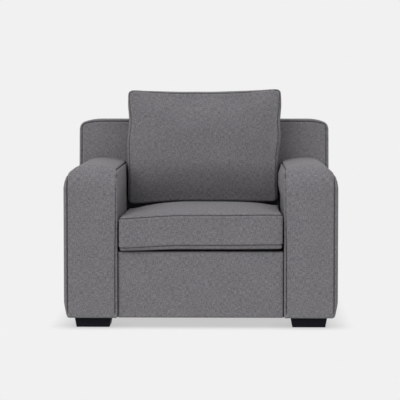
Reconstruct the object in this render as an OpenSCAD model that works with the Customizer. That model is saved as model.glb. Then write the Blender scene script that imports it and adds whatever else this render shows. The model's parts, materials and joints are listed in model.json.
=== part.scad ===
// Upholstered armchair: an arm unit on each side, a back unit and a seat base, bolted together,
// on four block feet, with a loose seat cushion and a loose back cushion.
// Millimetres, +Z up, the front faces -Y, origin on the floor under the middle of the chair.

/* [Overall] */
// Width over the two arms
body_w = 1040; // [900:10:1250]
// Depth from the arm fronts to the outside back
body_d = 924; // [840:4:1110]
// Height of the back unit above the floor
back_h = 776; // [700:4:900]
// Height of the sprung deck that carries the seat cushion
deck_h = 290; // [240:5:350]

/* [Arms] */
// Width of one arm
arm_w = 204; // [170:2:246]
// Height of an arm at its crown
arm_h = 616; // [520:4:740]
// Radius of the outer top edge
arm_top_r = 85; // [60:1:100]
// Radius of the inner top edge
arm_inner_r = 16; // [14:1:24]
// Radius where the arm front turns over into the top
arm_front_r = 50; // [36:1:60]
// Radius of the upright front edges
arm_edge_r = 14; // [8:1:20]
// Rise of the arm top from its edges to its middle
arm_crown = 12; // [6:1:20]

/* [Back] */
// Thickness of the back unit at deck height
back_t = 198; // [182:1:240]
// Slope of the inside back
back_rake = 6; // [3:0.5:9]
// Radius of the two top corners
back_corner_r = 50; // [40:1:60]
// Radius of the front and rear top edges
back_edge_r = 24; // [14:1:30]

/* [Seat cushion] */
// Thickness through the crown
seat_t = 168; // [140:2:200]
// Distance that the front stands past the arms
seat_overhang = 8; // [0:1:20]
// Room between the cushion and each arm
seat_gap = 6; // [2:1:12]
// Rise of the top panel from its seam to its crown
seat_crown = 22; // [10:1:26]

/* [Back cushion] */
// Room between the cushion and each arm
pillow_gap = 3; // [2:1:30]
// Height along its own slope
pillow_h = 456; // [380:2:548]
// Thickness through the crown
pillow_t = 176; // [146:2:210]
// Rise of the front panel from its seam to its crown
pillow_crown = 24; // [10:1:30]

/* [Cushion make-up] */
// Radius of the rolled edges
cushion_r = 22; // [18:1:28]
// Radius of the four upright corners
cushion_corner_r = 26; // [24:1:40]
// Rise of the panel that the cushion lies on
under_crown = 12; // [6:1:16]
// Thickness of the sewn case
case_t = 6; // [5:0.5:8]
// Room between the case and the filling
filling_gap = 4; // [1:0.5:8]
// Width of the flat welt sewn into the seams
welt_w = 5; // [3:0.5:6]
// Thickness of the welt
welt_t = 3; // [2:0.5:4]

/* [Zips] */
// Width of a zip tape
tape_w = 26; // [20:1:30]
// Thickness of a zip tape
tape_t = 1.2; // [0.8:0.1:1.6]
// Width of the closed chain
chain_w = 5; // [4:0.5:6]
// Height of the closed chain
chain_t = 2.4; // [2:0.1:3]
// Length of a slider
slider_l = 14; // [10:1:18]
// Length of a pull tab
pull_l = 26; // [18:1:32]
// Room between the slider and the chain
zip_play = 0.4; // [0.3:0.05:0.6]

/* [Upholstery] */
// Cover cloth with its fibre lining
cover_t = 5; // [3:0.5:6]
// Foam on the inner side of an arm
arm_inner_foam = 10; // [8:1:14]
// Foam on the outer side of an arm
arm_outer_foam = 18; // [12:1:24]
// Foam on the arm fronts and the front rail
front_foam = 18; // [12:1:24]
// Foam over the arm tops
arm_top_foam = 26; // [20:1:32]
// Foam over the inside back
back_foam = 30; // [20:1:36]
// Foam over the sides of the back
back_side_foam = 12; // [8:1:16]
// Foam over the top of the back
back_top_foam = 20; // [16:1:26]
// Felt pad over the springs
felt_t = 14; // [8:1:20]
// Deck cloth over the felt
deck_cloth_t = 2; // [1:0.5:3]
// Dust cover under the chair
dust_t = 2; // [1:0.5:3]
// Distance that the front rail cover lies behind the arm fronts
apron_step = 8; // [4:1:14]

/* [Frame] */
// Thickness of the sawn rails
rail_t = 24; // [18:1:30]
// Height of the low rails in the arms and the back
low_rail_h = 60; // [50:1:75]
// Thickness of the plywood boards
board_t = 18; // [15:1:22]
// Thickness of the hardboard panels
panel_t = 3; // [3:0.5:5]
// Legs of the corner blocks in the seat base
corner_leg = 70; // [50:1:90]

/* [Springs] */
// Number of zigzag springs
spring_count = 5; // [4:1:7]
// Thickness of the spring wire
wire_t = 4; // [3:0.5:5]
// Half of the straight part of a zigzag
zigzag_half = 14; // [10:1:20]
// Distance from one zigzag to the next
zigzag_pitch = 22; // [18:1:26]
// Thickness of the spring clips
clip_t = 1.5; // [1:0.1:2]
// Radius of the tie wires
tie_r = 0.9; // [0.6:0.1:1]
// Number of elastic straps in the back
strap_count = 4; // [3:1:6]
// Width of a strap
strap_w = 50; // [40:1:60]

/* [Feet] */
// Height of a foot
foot_h = 40; // [30:1:60]
// Width of a foot at its top
foot_top_w = 139; // [110:1:142]
// Width of a foot on the floor
foot_floor_w = 125; // [100:1:136]
// Distance from the arm fronts and the outside back to the feet
foot_inset = 26; // [22:1:40]

/* [Fasteners] */
// Radius of the bolts
bolt_r = 4; // [3:0.5:5]
// Radius of a bolt head
head_r = 8; // [7:0.5:9]
// Height of a bolt head
head_h = 5; // [4:0.5:6]
// Radius of a T-nut flange
flange_r = 11; // [9:0.5:13]
// Thickness of a T-nut flange
flange_t = 1.5; // [1:0.1:2]
// Length of a T-nut barrel
barrel_l = 10; // [8:0.5:12]
// Wall of a T-nut barrel
barrel_wall = 1.2; // [1:0.1:1.6]
// Room around a bolt in a T-nut
thread_play = 0.1; // [0.05:0.05:0.2]
// Room around a bolt or a barrel in timber
drill_play = 0.4; // [0.2:0.1:0.8]

/* [Hidden] */
$fn = 64;

// Colours
cloth = [0.40, 0.395, 0.41];
black = [0.07, 0.07, 0.085];
timber = [0.72, 0.58, 0.40];
plywood = [0.76, 0.64, 0.47];
foam = [0.93, 0.89, 0.76];
felt = [0.62, 0.60, 0.56];
steel = [0.62, 0.63, 0.65];

// Room between two pieces of cloth or foam that lie against each other
lay = 1;
// How far a cutting shape runs past what it cuts
over = 2;

// Main planes
rear_y = (body_d + seat_overhang) / 2;
arm_front_y = rear_y - body_d;
face_y = rear_y - back_t;
under_z = foot_h;
frame_z = foot_h + dust_t;
arm_inner_x = body_w / 2 - arm_w;
arm_mid_x = body_w / 2 - arm_w / 2;

// Insets from the outside of a unit to its frame
arm_inner_in = cover_t + lay + arm_inner_foam;
arm_outer_in = cover_t + lay + arm_outer_foam;
arm_front_in = cover_t + lay + front_foam;
arm_top_in = cover_t + lay + arm_top_foam;
back_side_in = cover_t + lay + back_side_foam;
back_front_in = cover_t + lay + back_foam;
back_top_in = cover_t + lay + back_top_foam;
back_panel_t = cover_t;

// Seat base
base_x = arm_inner_x - 2;
apron_y = arm_front_y + apron_step;
base_front_y = apron_y + cover_t + lay + front_foam;
base_rear_y = face_y - lay;
felt_z = deck_h - deck_cloth_t - felt_t;
rail_top_z = felt_z - wire_t - 2;
base_rail_h = rail_top_z - frame_z;
apron_lip = 60;

// Arm frame
arm_frame_front_y = arm_front_y + arm_front_in + 0.5;
arm_frame_rear_y = face_y - 2 * lay;
arm_frame_inner_x = arm_inner_x + arm_inner_in;
arm_frame_outer_x = body_w / 2 - arm_outer_in;
arm_panel_top_z = arm_h - arm_top_r - 10;

// Feet
foot_x = arm_mid_x - 7;
foot_front_y = arm_front_y + foot_inset + foot_top_w / 2;
foot_rear_y = rear_y - foot_inset - foot_top_w / 2;
foot_bolt_low_z = 10;
foot_block_w = 2 * min(foot_x - arm_frame_inner_x - panel_t - rail_t,
                       arm_frame_outer_x - panel_t - rail_t - foot_x) - 2;
foot_block_d = 2 * (foot_rear_y - face_y - back_front_in - rail_t) - 2;

// Bolts between the units
arm_bolt_z = frame_z + low_rail_h / 2;
arm_bolt_ys = [base_front_y + 110, base_rear_y - 110];
back_bolt_x = min(base_x * 0.62, base_x - rail_t - corner_leg - head_r - 5);
back_bolt_xs = [-back_bolt_x, back_bolt_x];
barrel_r = bolt_r + thread_play + barrel_wall;

// Seat cushion
seat_w = 2 * (arm_inner_x - seat_gap);
seat_front_y = arm_front_y - seat_overhang;
seat_rear_y = face_y - 12;
seat_d = seat_rear_y - seat_front_y;
seat_mid_y = (seat_front_y + seat_rear_y) / 2;
seat_z = deck_h + 1;
seat_zip_z = seat_z + under_crown + (seat_t - under_crown - seat_crown) / 2;
seat_zip_l = seat_w - 80;

// Back cushion, in a frame at its rear lower edge that leans with the inside back
pillow_z = seat_z + seat_t - seat_crown - 2;
pillow_back_gap = 4;
pillow_w = 2 * (arm_inner_x - pillow_gap);
pillow_zip_l = pillow_w - 80;
pillow_zip_y = -pillow_t / 2;
zip_groove = 9;

// Share of a rolled edge's radius from its corner to its 45 degree point
edge_share = 1 - sqrt(0.5);

// ---- Outlines ----

// The front plane of the back unit at height z
function face_at(z) = face_y + max(0, z - deck_h) * tan(back_rake);

// Radius of the circle that rises by rise over a span
function crown_r(span, rise) = (span * span / 4 + rise * rise) / (2 * rise);

// What a round corner of radius r takes off a square corner at the origin
module corner_cut(r) {
    if (r > 0)
        difference() {
            translate([-over, -over]) square(r + over);
            translate([r, r]) circle(r);
        }
}

// A rectangle with its own radius at each corner: lower left, lower right, upper right, upper left
module rounded(w, h, r) {
    difference() {
        square([w, h]);
        corner_cut(r[0]);
        translate([w, 0]) rotate(90) corner_cut(r[1]);
        translate([w, h]) rotate(180) corner_cut(r[2]);
        translate([0, h]) rotate(270) corner_cut(r[3]);
    }
}

// An outline in X and Z, extruded from y0 to y1
module along_y(y0, y1) {
    translate([0, y1, 0]) rotate([90, 0, 0]) linear_extrude(y1 - y0) children();
}

// An outline in Y and Z, extruded from x0 to x1
module along_x(x0, x1) {
    translate([x0, 0, 0]) rotate([90, 0, 90]) linear_extrude(x1 - x0) children();
}

module both_sides() {
    children();
    mirror([1, 0, 0]) children();
}

// ---- Arm unit, drawn on the right ----

// Cross-section of an arm, inset from each outer face
module arm_section(inner, outer, top, low) {
    x0 = arm_inner_x + inner;
    w = arm_w - inner - outer;
    r = crown_r(arm_w, arm_crown);
    intersection() {
        translate([x0, low])
            rounded(w, arm_h - top - low, [0, 0, arm_top_r - top, max(2, arm_inner_r - top)]);
        translate([arm_mid_x, arm_h - r]) circle(r - top, $fn = 128);
    }
}

// Side view of an arm: the front turns over into the top, and the rear follows the back unit
module arm_side(front, top, low, rear) {
    y0 = arm_front_y + front;
    high = arm_h + 60;
    intersection() {
        translate([y0, low])
            rounded(body_d, arm_h - top - low, [0, 0, 0, max(2, arm_front_r - top)]);
        polygon([
            [y0 - 10, low - 10], [face_y + rear, low - 10], [face_y + rear, deck_h],
            [face_at(high) + rear, high], [y0 - 10, high]
        ]);
    }
}

// The arm unit's outer shape, inset by the given amounts
module arm_block(inner, outer, front, top, low, rear) {
    w = arm_w - inner - outer;
    intersection() {
        along_y(arm_front_y - over, rear_y) arm_section(inner, outer, top, low);
        along_x(arm_inner_x - over, body_w / 2 + over) arm_side(front, top, low, rear);
        translate([arm_inner_x + inner, arm_front_y + front, low - over])
            linear_extrude(arm_h)
                rounded(w, body_d, [max(1, arm_edge_r / 2 - inner), max(1, arm_edge_r - outer), 0, 0]);
    }
}

// Cylinders across the arm's inner side, where its bolts pass
module arm_bolt_bores(r, x0, x1) {
    for (y = arm_bolt_ys)
        translate([x0, y, arm_bolt_z]) rotate([0, 90, 0]) cylinder(r = r, h = x1 - x0);
}

module arm_cover() {
    color(cloth)
        difference() {
            arm_block(0, 0, 0, 0, frame_z, -lay);
            arm_block(cover_t, cover_t, cover_t, cover_t, frame_z - over, over);
            arm_bolt_bores(bolt_r + 1, arm_inner_x - over, arm_inner_x + cover_t + over);
        }
}

module arm_foam() {
    skin = cover_t + lay;
    color(foam)
        difference() {
            arm_block(skin, skin, skin, skin, frame_z, -2 * lay);
            arm_block(arm_inner_in, arm_outer_in, arm_front_in, arm_top_in, frame_z - over, over);
            arm_bolt_bores(bolt_r + 1, arm_inner_x + skin - over, arm_frame_inner_x + over);
        }
}

// A plywood board across the arm, shaped to the padding over it
module arm_board(y0) {
    color(plywood)
        intersection() {
            arm_block(arm_inner_in + panel_t, arm_outer_in + panel_t, arm_front_in + 0.5,
                      arm_top_in + 0.5, frame_z, 0);
            translate([arm_inner_x, y0, 0]) cube([arm_w, board_t, arm_h]);
        }
}

// A hardboard panel on one side of the arm frame
module arm_panel(x0) {
    y0 = arm_frame_front_y + 1;
    translate([x0, y0, frame_z])
        cube([panel_t, arm_frame_rear_y - y0, arm_panel_top_z - frame_z]);
}

module arm_inner_panel() {
    color(plywood)
        difference() {
            arm_panel(arm_frame_inner_x);
            arm_bolt_bores(bolt_r + drill_play, arm_frame_inner_x - over,
                           arm_frame_inner_x + panel_t + over);
        }
}

module arm_outer_panel() {
    color(plywood) arm_panel(arm_frame_outer_x - panel_t);
}

// A rail that runs along the arm between its two boards
module arm_rail(x0, w, z0, h) {
    y0 = arm_frame_front_y + board_t;
    translate([x0, y0, z0]) cube([w, arm_frame_rear_y - board_t - y0, h]);
}

module arm_inner_rail() {
    x0 = arm_frame_inner_x + panel_t;
    color(timber)
        difference() {
            arm_rail(x0, rail_t, frame_z, low_rail_h);
            arm_bolt_bores(bolt_r + drill_play, x0 - over, x0 + rail_t + over);
            arm_bolt_bores(barrel_r + drill_play, x0 + rail_t - barrel_l - 1, x0 + rail_t + over);
        }
}

module arm_outer_rail() {
    color(timber) arm_rail(arm_frame_outer_x - panel_t - rail_t, rail_t, frame_z, low_rail_h);
}

module arm_top_rail() {
    h = rail_t;
    color(timber)
        arm_rail(arm_mid_x - 40, 80, arm_h - arm_top_in - arm_crown - h, h);
}

// ---- Back unit ----

// Side view of the back unit: a straight rear, and a front that slopes above the deck
module back_side(front, top, rear, low) {
    z1 = back_h - top;
    r = max(4, back_edge_r - top);
    shoulder = z1 - r;
    y0 = face_at(shoulder) + front;
    y1 = rear_y - rear;
    difference() {
        polygon([
            [face_y + front, low], [face_y + front, deck_h], [y0, shoulder], [y0, z1], [y1, z1],
            [y1, low]
        ]);
        translate([y0, z1]) rotate(270) corner_cut(r);
    }
}

module back_block(side, front, top, rear, low) {
    w = body_w - 2 * side;
    r = back_corner_r - top;
    intersection() {
        along_y(face_y - over, rear_y + over)
            translate([-w / 2, low]) rounded(w, back_h - top - low, [0, 0, r, r]);
        along_x(-body_w, body_w) back_side(front, top, rear, low);
    }
}

// Cylinders through the back unit's front, where its bolts pass
module back_bolt_bores(r, y0, y1) {
    for (x = back_bolt_xs)
        translate([x, y1, arm_bolt_z]) rotate([90, 0, 0]) cylinder(r = r, h = y1 - y0);
}

module back_cover() {
    color(cloth)
        difference() {
            back_block(0, 0, 0, back_panel_t + lay, frame_z);
            back_block(cover_t, cover_t, cover_t, -over, frame_z - over);
            back_bolt_bores(bolt_r + 1, face_y - over, face_y + cover_t + over);
        }
}

module back_padding() {
    skin = cover_t + lay;
    color(foam)
        difference() {
            back_block(skin, skin, skin, back_panel_t + 2 * lay, frame_z);
            back_block(back_side_in, back_front_in, back_top_in, -over, frame_z - over);
            back_bolt_bores(bolt_r + 1, face_y, face_y + back_front_in + over);
        }
}

module outside_back_panel() {
    m = 14;
    r = back_corner_r - m;
    color(cloth)
        along_y(rear_y - back_panel_t, rear_y)
            translate([-body_w / 2 + m, frame_z])
                rounded(body_w - 2 * m, back_h - m - frame_z, [0, 0, r, r]);
}

// A shaped plywood board at each side of the back frame
module back_board() {
    x1 = body_w / 2 - back_side_in - 0.1;
    front = back_front_in + 0.2;
    top = back_h - back_corner_r - 2;
    y1 = rear_y - back_panel_t - 2 * lay;
    color(plywood)
        along_x(x1 - board_t, x1)
            polygon([
                [face_y + front, frame_z], [face_y + front, deck_h], [face_at(top) + front, top],
                [y1, top], [y1, frame_z]
            ]);
}

back_rail_l = 2 * (body_w / 2 - back_side_in - board_t - 0.2);
back_slope_l = (back_h - deck_h) / cos(back_rake);

// Local frame of the sloping inside back: Y goes into the back, Z runs up the slope
module on_slope() {
    translate([0, face_y, deck_h]) rotate([-back_rake, 0, 0]) children();
}

strap_y = back_front_in;
slope_rail_y = strap_y + 2;

module slope_rail(z0) {
    color(timber)
        on_slope()
            translate([-back_rail_l / 2, slope_rail_y, z0]) cube([back_rail_l, rail_t, low_rail_h]);
}

top_slope_rail_z = back_slope_l - back_top_in - low_rail_h - 12;
middle_slope_rail_z = 24;

module back_low_rail() {
    y0 = face_y + back_front_in;
    color(timber)
        difference() {
            translate([-back_rail_l / 2, y0, frame_z]) cube([back_rail_l, rail_t, low_rail_h]);
            back_bolt_bores(bolt_r + drill_play, y0 - over, y0 + rail_t + over);
            back_bolt_bores(barrel_r + drill_play, y0 + rail_t - barrel_l - 1, y0 + rail_t + over);
        }
}

module back_rear_rail() {
    y1 = rear_y - back_panel_t - 2 * lay;
    color(timber)
        translate([-back_rail_l / 2, y1 - rail_t, frame_z]) cube([back_rail_l, rail_t, low_rail_h]);
}

module back_straps() {
    step = back_rail_l / (strap_count + 1);
    low = middle_slope_rail_z + 5;
    color(black)
        on_slope()
            for (i = [1 : strap_count])
                translate([-back_rail_l / 2 + i * step - strap_w / 2, strap_y + 0.3, low])
                    cube([strap_w, 1.6, top_slope_rail_z + low_rail_h - 5 - low]);
}

// ---- Seat base ----

module base_front_rail() {
    color(timber)
        translate([-base_x + rail_t, base_front_y, frame_z])
            cube([2 * (base_x - rail_t), rail_t, base_rail_h]);
}

module base_rear_rail() {
    y0 = base_rear_y - rail_t;
    color(timber)
        difference() {
            translate([-base_x + rail_t, y0, frame_z])
                cube([2 * (base_x - rail_t), rail_t, base_rail_h]);
            back_bolt_bores(bolt_r + drill_play, y0 - over, base_rear_y + over);
        }
}

module base_side_rail() {
    color(timber)
        difference() {
            translate([base_x - rail_t, base_front_y, frame_z])
                cube([rail_t, base_rear_y - base_front_y, base_rail_h]);
            arm_bolt_bores(bolt_r + drill_play, base_x - rail_t - over, base_x + over);
        }
}

module base_cross_rail() {
    color(timber)
        translate([-base_x + rail_t, (base_front_y + base_rear_y - rail_t) / 2, frame_z])
            cube([2 * (base_x - rail_t), rail_t, low_rail_h * 1.6]);
}

module corner_blocks() {
    x = base_x - rail_t;
    color(timber)
        both_sides() {
            translate([0, 0, frame_z]) linear_extrude(low_rail_h * 0.4) {
                polygon([
                    [x, base_front_y + rail_t], [x, base_front_y + rail_t + corner_leg],
                    [x - corner_leg, base_front_y + rail_t]
                ]);
                polygon([
                    [x, base_rear_y - rail_t], [x - corner_leg, base_rear_y - rail_t],
                    [x, base_rear_y - rail_t - corner_leg]
                ]);
            }
        }
}

// Zigzag springs: bars across, joined by half turns, from the front rail to the rear rail
spring_start_y = base_front_y + rail_t / 2;
spring_room = base_rear_y - rail_t / 2 - spring_start_y;
bar_count = 2 * floor(spring_room / zigzag_pitch / 2) + 1;
bar_pitch = spring_room / (bar_count - 1);
spring_step = (2 * base_x - 150) / (spring_count - 1);
turn_steps = 5;

// One edge of the wire, side = 1 or -1, from the first bar to the last
function zigzag_edge(side) = [
    for (k = [0 : bar_count - 2], j = [0 : turn_steps])
        let (
            way = k % 2 == 0 ? 1 : -1,
            r = bar_pitch / 2 + side * way * wire_t / 2,
            a = -90 + 180 * j / turn_steps
        )
        [way * (zigzag_half + r * cos(a)), (k + 0.5) * bar_pitch + r * sin(a)]
];

function backwards(list) = [for (i = [len(list) - 1 : -1 : 0]) list[i]];

module zigzag() {
    end_y = (bar_count - 1) * bar_pitch;
    polygon(concat(
        [[-zigzag_half, -wire_t / 2]], zigzag_edge(1),
        [[zigzag_half, end_y - wire_t / 2], [zigzag_half, end_y + wire_t / 2]],
        backwards(zigzag_edge(-1)), [[-zigzag_half, wire_t / 2]]
    ));
}

module each_spring() {
    for (i = [0 : spring_count - 1])
        translate([(i - (spring_count - 1) / 2) * spring_step, 0, 0]) children();
}

module seat_springs() {
    color(steel)
        each_spring()
            translate([0, spring_start_y, rail_top_z]) linear_extrude(wire_t) zigzag();
}

// A clip holds the end bar of each spring: a plate over the wire and a foot on the rail
module spring_clip() {
    w = 2 * zigzag_half;
    plate_l = wire_t + 8;
    foot_l = 4;
    translate([-w / 2, -wire_t / 2 - 0.2 - foot_l, wire_t]) cube([w, plate_l, clip_t]);
    translate([-w / 2, -wire_t / 2 - 0.2 - foot_l, 0]) cube([w, foot_l, wire_t]);
}

module spring_clips() {
    color(steel)
        each_spring() {
            translate([0, spring_start_y, rail_top_z]) spring_clip();
            translate([0, spring_start_y + spring_room, rail_top_z]) rotate(180) spring_clip();
        }
}

module spring_tie_wires() {
    half = (spring_count - 1) / 2 * spring_step + zigzag_half;
    color(steel)
        for (share = [1 / 3, 2 / 3])
            translate([-half, spring_start_y + share * spring_room, rail_top_z + wire_t + tie_r + 0.05])
                rotate([0, 90, 0]) cylinder(r = tie_r, h = 2 * half);
}

module deck_felt() {
    color(felt)
        translate([-base_x, base_front_y, felt_z])
            cube([2 * base_x, base_rear_y - base_front_y, felt_t]);
}

module deck_cloth() {
    y0 = apron_y + apron_lip + lay;
    color(cloth)
        translate([-base_x, y0, felt_z + felt_t]) cube([2 * base_x, base_rear_y - y0, deck_cloth_t]);
}

module front_rail_foam() {
    skin = cover_t + lay;
    h = felt_z + felt_t - frame_z;
    color(foam)
        along_x(-base_x + skin, base_x - skin)
            translate([apron_y + skin, frame_z])
                rounded(base_front_y - apron_y - skin, h, [0, 0, 0, 8]);
}

// The front rail's cover comes up the front and turns in over the felt
module front_rail_cover() {
    top = deck_h - frame_z;
    color(cloth)
        along_x(-base_x, base_x)
            difference() {
                translate([apron_y, frame_z]) rounded(apron_lip, top, [0, 0, 0, 14]);
                translate([apron_y + cover_t, frame_z - over])
                    rounded(apron_lip, top - deck_cloth_t + over, [0, 0, 0, 9]);
            }
}

// ---- Underside, feet and fasteners ----

// Places a child at each foot
module each_foot() {
    for (x = [-foot_x, foot_x], y = [foot_front_y, foot_rear_y]) translate([x, y, 0]) children();
}

module dust_cover() {
    m = 6;
    color(black)
        difference() {
            translate([-body_w / 2 + m, apron_y + m, under_z])
                cube([body_w - 2 * m, rear_y - apron_y - 2 * m, dust_t]);
            each_foot() translate([0, 0, under_z - over]) cylinder(r = bolt_r + 1, h = dust_t + 2 * over);
        }
}

module foot_blocks() {
    color(plywood)
        each_foot()
            difference() {
                translate([-foot_block_w / 2, -foot_block_d / 2, frame_z])
                    cube([foot_block_w, foot_block_d, board_t]);
                translate([0, 0, frame_z - over])
                    cylinder(r = bolt_r + drill_play, h = board_t + 2 * over);
                translate([0, 0, frame_z + board_t - barrel_l - 1])
                    cylinder(r = barrel_r + drill_play, h = barrel_l + 1 + over);
            }
}

// A block foot, narrower on the floor than at its top, drilled for its bolt
module foot() {
    half = foot_top_w / 2;
    low = foot_floor_w / 2;
    color(black)
        difference() {
            intersection() {
                along_x(-half, half) polygon([[-low, 0], [low, 0], [half, foot_h], [-half, foot_h]]);
                along_y(-half, half) polygon([[-low, 0], [low, 0], [half, foot_h], [-half, foot_h]]);
            }
            translate([0, 0, foot_bolt_low_z - 1])
                cylinder(r = bolt_r + thread_play, h = foot_h);
        }
}

module bolt(l) {
    cylinder(r = bolt_r, h = l);
    translate([0, 0, -head_h]) cylinder(r = head_r, h = head_h);
}

module tee_nut() {
    difference() {
        union() {
            cylinder(r = flange_r, h = flange_t);
            translate([0, 0, -barrel_l]) cylinder(r = barrel_r, h = barrel_l + flange_t / 2);
        }
        translate([0, 0, -barrel_l - over])
            cylinder(r = bolt_r + thread_play, h = barrel_l + flange_t + 2 * over);
    }
}

arm_nut_x = arm_frame_inner_x + panel_t + rail_t;
back_nut_y = face_y + back_front_in + rail_t;

module frame_bolts() {
    arm_head_x = base_x - rail_t;
    back_head_y = base_rear_y - rail_t;
    color(steel) {
        both_sides()
            for (y = arm_bolt_ys)
                translate([arm_head_x, y, arm_bolt_z]) rotate([0, 90, 0]) bolt(arm_nut_x - arm_head_x + 4);
        for (x = back_bolt_xs)
            translate([x, back_head_y, arm_bolt_z]) rotate([-90, 0, 0]) bolt(back_nut_y - back_head_y + 4);
    }
}

module foot_bolts() {
    color(steel)
        each_foot()
            translate([0, 0, foot_bolt_low_z])
                cylinder(r = bolt_r, h = frame_z + board_t + 4 - foot_bolt_low_z);
}

module tee_nuts() {
    color(steel) {
        both_sides()
            for (y = arm_bolt_ys) translate([arm_nut_x, y, arm_bolt_z]) rotate([0, 90, 0]) tee_nut();
        for (x = back_bolt_xs) translate([x, back_nut_y, arm_bolt_z]) rotate([-90, 0, 0]) tee_nut();
        each_foot() translate([0, 0, frame_z + board_t]) tee_nut();
    }
}

// ---- Cushions ----

// Outline of a cushion that is w wide and t thick: rolled edges, with a crown above and below
module crowned(w, t, above, below, in) {
    body_t = t - above - below;
    flat = w / 2 - cushion_r;
    reach = flat - 2;
    r_above = crown_r(2 * reach, above);
    r_below = crown_r(2 * reach, below);
    e = cushion_r - in;
    union() {
        translate([-w / 2 + in, below + in]) rounded(w - 2 * in, body_t - 2 * in, [e, e, e, e]);
        intersection() {
            translate([-flat, 0]) square([2 * flat, t]);
            translate([0, t - r_above]) circle(r_above - in, $fn = 256);
            translate([0, r_below]) circle(r_below - in, $fn = 256);
        }
    }
}

// A cushion lying flat on z = 0, centred on Z, inset by in
module cushion_block(w, d, t, above, below, in) {
    c = cushion_corner_r - in;
    intersection() {
        along_y(-d, d) crowned(w, t, above, below, in);
        along_x(-w, w) crowned(d, t, above, below, in);
        translate([-w / 2 + in, -d / 2 + in, -over])
            linear_extrude(t + 2 * over) rounded(w - 2 * in, d - 2 * in, [c, c, c, c]);
    }
}

// A flat ring around a cushion, between two insets from its sides
module cushion_ring(w, d, m0, m1) {
    c0 = cushion_corner_r - m0;
    c1 = cushion_corner_r - m1;
    difference() {
        translate([-w / 2 + m0, -d / 2 + m0]) rounded(w - 2 * m0, d - 2 * m0, [c0, c0, c0, c0]);
        translate([-w / 2 + m1, -d / 2 + m1]) rounded(w - 2 * m1, d - 2 * m1, [c1, c1, c1, c1]);
    }
}

// The step cut around a cushion for a welt, level with z
module welt_step(w, d, z) {
    m = edge_share * cushion_r;
    h = welt_t + 0.4;
    translate([0, 0, z - h / 2]) linear_extrude(h) cushion_ring(w, d, -10, m + welt_w / 2 + 0.2);
}

// The two welts of a cushion
module cushion_welts(w, d, t, above, below) {
    m = edge_share * cushion_r;
    for (z = [below + m, t - above - m])
        translate([0, 0, z - welt_t / 2])
            linear_extrude(welt_t) cushion_ring(w, d, m - welt_w / 2, m + welt_w / 2);
}

module cushion_case(w, d, t, above, below) {
    m = edge_share * cushion_r;
    difference() {
        cushion_block(w, d, t, above, below, 0);
        cushion_block(w, d, t, above, below, case_t);
        welt_step(w, d, below + m);
        welt_step(w, d, t - above - m);
    }
}

// A zip laid along X with its tape on z = 0 and its chain above
module zip(l) {
    translate([-l / 2, -tape_w / 2, 0]) cube([l, tape_w, tape_t]);
    translate([-l / 2 + 4, -chain_w / 2, tape_t - 0.2]) cube([l - 8, chain_w, chain_t + 0.2]);
}

// The slider runs over the chain, with its pull lying along the tape
module zip_slider(l) {
    w = chain_w + 2 * (zip_play + 1.6);
    low = tape_t + 0.3;
    roof = tape_t + chain_t + zip_play;
    x0 = -l / 2 + 10;
    difference() {
        translate([x0, -w / 2, low]) cube([slider_l, w, roof + 1.6 - low]);
        translate([x0 - over, -chain_w / 2 - zip_play, low - over])
            cube([slider_l + 2 * over, chain_w + 2 * zip_play, roof - low + over]);
    }
    difference() {
        translate([x0 + 2, -3.5, roof + 1.6]) cube([pull_l, 7, 1.2]);
        translate([x0 + pull_l - 4, 0, roof]) cylinder(r = 1.8, h = 6);
    }
}

// Puts a cushion's flat frame where the seat cushion lies
module at_seat() {
    translate([0, seat_mid_y, seat_z]) children();
}

// The zip lies on the seat cushion's rear wall
module at_seat_zip() {
    translate([0, seat_rear_y, seat_zip_z]) rotate([-90, 0, 0]) children();
}

// Local frame of the leaning back cushion: Y into the back, Z up its slope
module at_pillow() {
    translate([0, face_at(pillow_z) - pillow_back_gap, pillow_z]) rotate([-back_rake, 0, 0]) children();
}

// Stands a cushion that lies flat up on its lower edge, its top panel facing forwards
module stand_up() {
    translate([0, 0, pillow_h / 2]) rotate([90, 0, 0]) children();
}

// The zip lies in a groove in the back cushion's lower wall
module at_pillow_zip() {
    at_pillow() translate([0, pillow_zip_y, zip_groove]) rotate([180, 0, 0]) children();
}

// The groove that takes a zip, drawn with the zip
module zip_room(l, deep) {
    translate([-l / 2 - 6, -tape_w / 2 - 2, -0.1]) cube([l + 12, tape_w + 4, deep]);
}

module seat_cushion_cover() {
    color(cloth) at_seat() cushion_case(seat_w, seat_d, seat_t, seat_crown, under_crown);
}

module seat_cushion_foam() {
    color(foam)
        at_seat()
            cushion_block(seat_w, seat_d, seat_t, seat_crown, under_crown, case_t + filling_gap);
}

module seat_cushion_welts() {
    color(cloth) at_seat() cushion_welts(seat_w, seat_d, seat_t, seat_crown, under_crown);
}

module back_cushion_cover() {
    wall = zip_groove + case_t;
    color(cloth)
        difference() {
            union() {
                at_pillow() stand_up()
                    cushion_case(pillow_w, pillow_h, pillow_t, pillow_crown, under_crown);
                at_pillow()
                    translate([-pillow_zip_l / 2 - 12, pillow_zip_y - tape_w / 2 - 8, case_t / 2])
                        cube([pillow_zip_l + 24, tape_w + 16, wall - case_t / 2]);
            }
            at_pillow_zip() zip_room(pillow_zip_l, zip_groove + over);
        }
}

module back_cushion_filling() {
    gap = case_t + filling_gap;
    color(foam)
        difference() {
            at_pillow() stand_up()
                cushion_block(pillow_w, pillow_h, pillow_t, pillow_crown, under_crown, gap);
            at_pillow()
                translate([-pillow_w / 2, pillow_zip_y - tape_w / 2 - 12, 0])
                    cube([pillow_w, tape_w + 24, zip_groove + gap]);
        }
}

module back_cushion_welts() {
    color(cloth)
        at_pillow() stand_up()
            cushion_welts(pillow_w, pillow_h, pillow_t, pillow_crown, under_crown);
}

// ---- Nodes ----

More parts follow.
